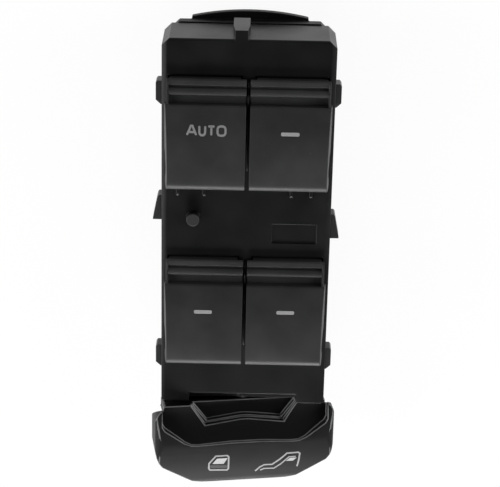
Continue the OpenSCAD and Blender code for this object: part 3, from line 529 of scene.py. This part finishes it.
clear_acrylic = clear("clear_acrylic", (0.92, 0.95, 0.96), rough=0.04)
terminal_brass = metal("terminal_brass", (0.78, 0.66, 0.4), rough=0.22)
pin_steel = metal("pin_steel", (0.6, 0.6, 0.6), rough=0.25)
print("clear and metal finishes:", clear_acrylic.name, terminal_brass.name, pin_steel.name)

# %% [markdown]
# The green solder mask of the board, the silicone and the resin of the lamps all have a skin like a
# moulding's, so the recipe for moulded plastic serves them too, with smoother or softer numbers.

# %% Board, silicone and lamps
board_mask = moulded("board_mask", (0.02, 0.13, 0.05), grain_mm=1.5, depth_mm=0.004, rough=(0.2, 0.32))
silicone = moulded("silicone", (0.55, 0.55, 0.52), grain_mm=0.5, depth_mm=0.01,
                   rough=(0.5, 0.6), varied=0.06)
lamp_resin = moulded("lamp_resin", (0.8, 0.76, 0.5), grain_mm=0.3, depth_mm=0.002,
                     rough=(0.2, 0.3), varied=0.05)
print("inner finishes:", board_mask.name, silicone.name, lamp_resin.name)

# %% [markdown]
# The record of the switch names a material slot for each solid. The finishes could be given one by one,
# but the record already knows which solid is made of what, so each solid takes the finish of its slot.

# %% Finishes onto solids
finish_of = {
    "housing_plastic": housing_plastic,
    "base_plastic": base_plastic,
    "paddle_paint": paddle_paint,
    "rocker_paint": rocker_paint,
    "board": board_mask,
    "header_plastic": header_plastic,
    "terminal_brass": terminal_brass,
    "silicone": silicone,
    "chip_plastic": chip_plastic,
    "lamp": lamp_resin,
    "clear_acrylic": clear_acrylic,
    "plunger_plastic": plunger_plastic,
    "pin_steel": pin_steel,
}
for part in frame["record"]["subparts"]:
    solid = nodes[part["node"]]
    solid.data.materials.clear()
    solid.data.materials.append(finish_of[part["material_slot"]])

# %% [markdown]
# No moulded edge is perfectly sharp. A radius of a fifth of a millimetre is enough to catch a thin line of
# light, and such lines are what draws a black object at all.
# The edges could be cut by hand. Modifiers do it without changing the solid itself, in this order: the
# triangles that it comes as are welded and joined into whole faces, then only edges between faces that
# really turn are rounded. Last, faces with many corners are cut into well-shaped triangles and keep their
# flat shading, because such a face next to a rounded edge can fold over and show as a dark sliver.
# On the rocker cap the rounded edges also take a finish of their own, a lighter grey that is a painted
# highlight.

# %% Rounded edges
weld_mm = 0.0005
same_face_turn = 0.2
edge_turn = 32
edge_segments = 2


def round_edges(name, radius_mm, edge_finish=None):
    solid = nodes[name]
    weld = solid.modifiers.new("weld", "WELD")
    weld.merge_threshold = weld_mm * MM
    whole = solid.modifiers.new("whole_faces", "DECIMATE")
    whole.decimate_type = "DISSOLVE"
    whole.angle_limit = math.radians(same_face_turn)
    bevel = solid.modifiers.new("edge_radius", "BEVEL")
    bevel.width = radius_mm * MM
    bevel.segments = edge_segments
    bevel.limit_method = "ANGLE"
    bevel.angle_limit = math.radians(edge_turn)
    bevel.use_clamp_overlap = False
    if edge_finish:
        solid.data.materials.append(edge_finish)
        bevel.material = len(solid.data.materials) - 1
    small = solid.modifiers.new("small_faces", "TRIANGULATE")
    small.min_vertices = 5
    small.ngon_method = "BEAUTY"
    flat = solid.modifiers.new("flat_faces_stay_flat", "WEIGHTED_NORMAL")
    flat.weight = 100
    for face in solid.data.polygons:
        face.use_smooth = True


paddle_names = [n for n in nodes if n.startswith("paddle_")]
for name in paddle_names:
    round_edges(name, radius_mm=0.15)
round_edges("housing", radius_mm=0.12)
round_edges("base_cover", radius_mm=0.2)
round_edges("lock_rocker", radius_mm=0.22, edge_finish=edge_highlight_paint)
print("rounded:", len([n for n in nodes if nodes[n].modifiers]))

# %% [markdown]
# The symbols are printed in ink: pale for the dashes and the windows, grey for the word and the outlines,
# and near black inside the door. Ink is matt and a little uneven where a finger has rubbed it.
# The recipe for plastic is too much for a layer this thin, so the ink has slow wear and no grain.

# %% Ink


def ink(name, shade):
    finish, tree, shader = new_finish(name)
    where = in_millimetres(tree)
    wear = noise(tree, where, grain_mm=0.5)
    dark = tuple(c * 0.9 for c in shade)
    tree.links.new(shade_between(tree, wear, dark, light=shade), shader.inputs["Base Color"])
    shader.inputs["Roughness"].default_value = 0.6
    return finish


pale_ink = ink("pale_ink", (0.42, 0.42, 0.42))
grey_ink = ink("grey_ink", (0.3, 0.3, 0.3))
dark_ink = ink("dark_ink", (0.008, 0.008, 0.008))
print("inks:", pale_ink.name, grey_ink.name, dark_ink.name)

# %% [markdown]
# Ink could be painted by a mask, as the bowl is. But a printed line with crisp ends is easier as a thin
# piece of its own, and a separate piece can be exported with its own name.
# A ray cast down finds the height of the paddle under each corner of a line, so the ink follows its curve.

# %% Where the ink lands
above_all = 0.1
dash_front_y = 30.4
dash_front_x = (7.9, 12.3)


def surface_under(name):
    solid = nodes[name]
    corners = [solid.matrix_world @ v.co for v in solid.data.vertices]
    return BVHTree.FromPolygons(corners, [tuple(f.vertices) for f in solid.data.polygons])


def landing(surface, x, y):
    spot, _, _, _ = surface.ray_cast(Vector((x * MM, y * MM, above_all)), Vector((0, 0, -1)))
    return spot.z


right_paddle = surface_under("paddle_front_right")
heights = [landing(right_paddle, x, dash_front_y) for x in dash_front_x]
print("height in mm under both ends of a dash:", [round(z / MM, 2) for z in heights])

# %% [markdown]
# A path is first cut into short steps, because a long straight line would dive through a curved face.
# A strip between two such paths is a thin closed body: it starts a little under the surface and ends
# three hundredths of a millimetre above it, so no gap shows and its edges have a real height.

# %% A strip of ink
ink_sunk_mm = 0.1
ink_thick_mm = 0.03


def finer(path, step):
    points = [path[0]]
    for (ax, ay), (bx, by) in zip(path, path[1:]):
        count = max(1, math.ceil(math.hypot(bx - ax, by - ay) / step))
        points += [(ax + (bx - ax) * i / count, ay + (by - ay) * i / count) for i in range(1, count + 1)]
    return points


def strip(surface, left, right, verts, faces, closed=False):
    n, base = len(left), len(verts)
    for pair in zip(left, right):
        for x, y in pair:
            z = landing(surface, x, y)
            verts.append((x * MM, y * MM, z - ink_sunk_mm * MM))
            verts.append((x * MM, y * MM, z + ink_thick_mm * MM))
    for i in range(n if closed else n - 1):
        a, b = base + 4 * i, base + 4 * ((i + 1) % n)
        faces += [(a + p, a + q, b + q, b + p) for p, q in ((1, 0), (3, 1), (2, 3), (0, 2))]
    if not closed:
        last = base + 4 * (n - 1)
        faces += [(base, base + 1, base + 3, base + 2), (last + 2, last + 3, last + 1, last)]


trial_verts, trial_faces = [], []
strip(right_paddle, [(8, 30), (9, 30)], [(8, 31), (9, 31)], trial_verts, trial_faces)
print("a strip of one step has", len(trial_verts), "corners and", len(trial_faces), "faces")

# %% [markdown]
# A line of ink is a strip with both sides at half its width from a path. At a bend the two sides move out
# to the mitre, as in a picture frame, but not without limit, or a sharp bend would grow a spike.
# The ends are rounded, as printed lines are: near an end the half width shrinks along a circle, down to
# a small blunt tip instead of a single point.

# %% A line of ink
line_step_mm = 0.15
blunt_tip_mm = 0.06
sharpest_mitre = 0.5


def heading(a, b):
    size = max(math.hypot(b[0] - a[0], b[1] - a[1]), 1e-9)
    return (b[0] - a[0]) / size, (b[1] - a[1]) / size


def ribbon(surface, path, width, verts, faces):
    closed = path[0] == path[-1]
    points = finer(path, line_step_mm)
    if closed:
        points.pop()
    n, left, right = len(points), [], []
    for i, (x, y) in enumerate(points):
        before = points[i - 1] if closed or i > 0 else (2 * x - points[1][0], 2 * y - points[1][1])
        after = points[(i + 1) % n] if closed or i < n - 1 else (2 * x - before[0], 2 * y - before[1])
        (ux, uy), (vx, vy) = heading(before, (x, y)), heading((x, y), after)
        mx, my = heading((0, 0), (ux + vx, uy + vy))
        half = width / 2 / max(sharpest_mitre, mx * ux + my * uy)
        if not closed:
            to_end = min(math.dist((x, y), points[0]), math.dist((x, y), points[-1]))
            depth = min(1, (to_end + blunt_tip_mm) / (width / 2))
            half *= math.sqrt(depth * (2 - depth))
        left.append((x - my * half, y + mx * half))
        right.append((x + my * half, y - mx * half))
    strip(surface, left, right, verts, faces, closed)


print("a line of 1 mm is cut into", len(finer([(0, 0), (1, 0)], line_step_mm)) - 1, "steps")

# %% [markdown]
# A symbol is one piece made of lines, or of filled shapes between two paths. It rides on the body that it is
# printed on, so it stays on its paddle when that turns. Parenting would do so too, but riding keeps the
# symbol's own place and lets the pose move it.
# The front right paddle carries the simplest symbol of all, a dash: one short wide line.

# %% A printed symbol
fill_step_mm = 0.5
dash_width = 0.85


def print_symbol(name, body, finish, lines=(), fills=()):
    surface = surface_under(body)
    verts, faces = [], []
    for path, width in lines:
        ribbon(surface, path, width, verts, faces)
    for left, right in fills:
        strip(surface, finer(left, fill_step_mm), finer(right, fill_step_mm), verts, faces)
    mesh = bpy.data.meshes.new(name)
    mesh.from_pydata(verts, [], faces)
    mesh.validate()
    mesh.materials.append(finish)
    piece = bpy.data.objects.new(name, mesh)
    scene.collection.objects.link(piece)
    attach(piece, body)
    return piece


def dash(x0, x1, y):
    return [([(x0, y), (x1, y)], dash_width)]


first = print_symbol("dash_front_right", "paddle_front_right", pale_ink, dash(*dash_front_x, dash_front_y))
print("corners of the first dash:", len(first.data.vertices))

# %% [markdown]
# The two rear paddles carry the same dash. Places are in millimetres on the switch, with x to the right and
# y forward, and the print on a real one is also a few tenths off from paddle to paddle.

# %% Rear dashes
print_symbol("dash_rear_left", "paddle_rear_left", pale_ink, dash(-12.4, -8.0, -16.4))
print_symbol("dash_rear_right", "paddle_rear_right", pale_ink, dash(8.0, 12.4, -16.2))

# %% [markdown]
# The driver's own paddle carries a word. A text object would bring a typeface with it, and the word on
# the switch is drawn with a pen of one width. So each capital is a few strokes on a grid of its own, one
# unit high, and a word sets them side by side.

# %% Word
CAPITALS = {
    "A": [[(0.0, 0.0), (0.44, 1.0), (0.61, 1.0), (1.05, 0.0)], [(0.2, 0.33), (0.85, 0.33)]],
    "U": [[(0.0, 1.0), (0.0, 0.3), (0.07, 0.1), (0.22, 0.0), (0.44, 0.0), (0.59, 0.1), (0.66, 0.3),
           (0.66, 1.0)]],
    "T": [[(0.0, 0.97), (0.7, 0.97)], [(0.35, 0.97), (0.35, 0.0)]],
    "O": [[(0.3, 1.0), (0.6, 1.0), (0.8, 0.92), (0.9, 0.72), (0.9, 0.28), (0.8, 0.08), (0.6, 0.0),
           (0.3, 0.0), (0.1, 0.08), (0.0, 0.28), (0.0, 0.72), (0.1, 0.92), (0.3, 1.0)]],
}
WIDTHS = {"A": 1.05, "U": 0.66, "T": 0.7, "O": 0.9}
letter_gap = 0.35


def word(text, left, low, height, weight):
    strokes, x = [], left + weight / 2
    low, height = low + weight / 2, height - weight
    for letter in text:
        for path in CAPITALS[letter]:
            strokes.append(([(x + px * height, low + py * height) for px, py in path], weight))
        x += (WIDTHS[letter] + letter_gap) * height
    return strokes


legend = word("AUTO", left=-14.7, low=29.55, height=2.6, weight=0.5)
print_symbol("auto_legend", "paddle_front_left", grey_ink, legend)
print("strokes in the word:", len(legend))

# %% [markdown]
# Two pictograms stand on the crescent of the rocker cap. The left one is a door with its window.
# Each is drawn as on the switch, with an outline first and the panes inside it as filled shapes.

# %% Door pictogram
outline_width = 0.42

door_line = [(-8.0, -62.5), (-8.3, -62.0), (-8.25, -60.4), (-6.5, -58.2), (-3.6, -58.2), (-3.2, -58.6),
             (-3.25, -62.4), (-3.6, -62.8), (-8.0, -62.5)]
door_pane = ([(-7.4, -60.6), (-3.5, -60.8)], [(-6.2, -59.0), (-3.5, -59.0)])
door_inside = ([(-7.9, -61.9), (-3.6, -62.1)], [(-7.9, -60.95), (-3.6, -61.2)])
print_symbol("door_outline", "lock_rocker", grey_ink, lines=[(door_line, outline_width)])
print_symbol("door_glass", "lock_rocker", pale_ink, fills=[door_pane])
print_symbol("door_panel", "lock_rocker", dark_ink, fills=[door_inside])
print("corners of the door's outline:", len(door_line) - 1)

# %% [markdown]
# The right pictogram is the front of a car: one line over bonnet, screen and roof, a thinner one along
# the sill, and a pale window between them.

# %% Car pictogram
sill_width = 0.36

roof_line = [(3.7, -63.7), (4.9, -62.45), (6.0, -61.8), (8.1, -61.8), (10.1, -60.25), (11.9, -58.5),
             (14.8, -58.4), (15.2, -58.8), (15.0, -60.9), (14.6, -62.9)]
sill_line = [(5.0, -63.5), (6.0, -63.0), (8.6, -63.1), (10.4, -61.75), (12.4, -59.7), (14.2, -59.65)]
car_pane = ([(11.6, -60.95), (14.4, -61.0)], [(12.7, -60.05), (14.45, -60.05)])
car_lines = [(roof_line, outline_width), (sill_line, sill_width)]
print_symbol("car_outline", "lock_rocker", grey_ink, lines=car_lines)
print_symbol("car_window", "lock_rocker", pale_ink, fills=[car_pane])
print("lines in the car:", len(car_lines))
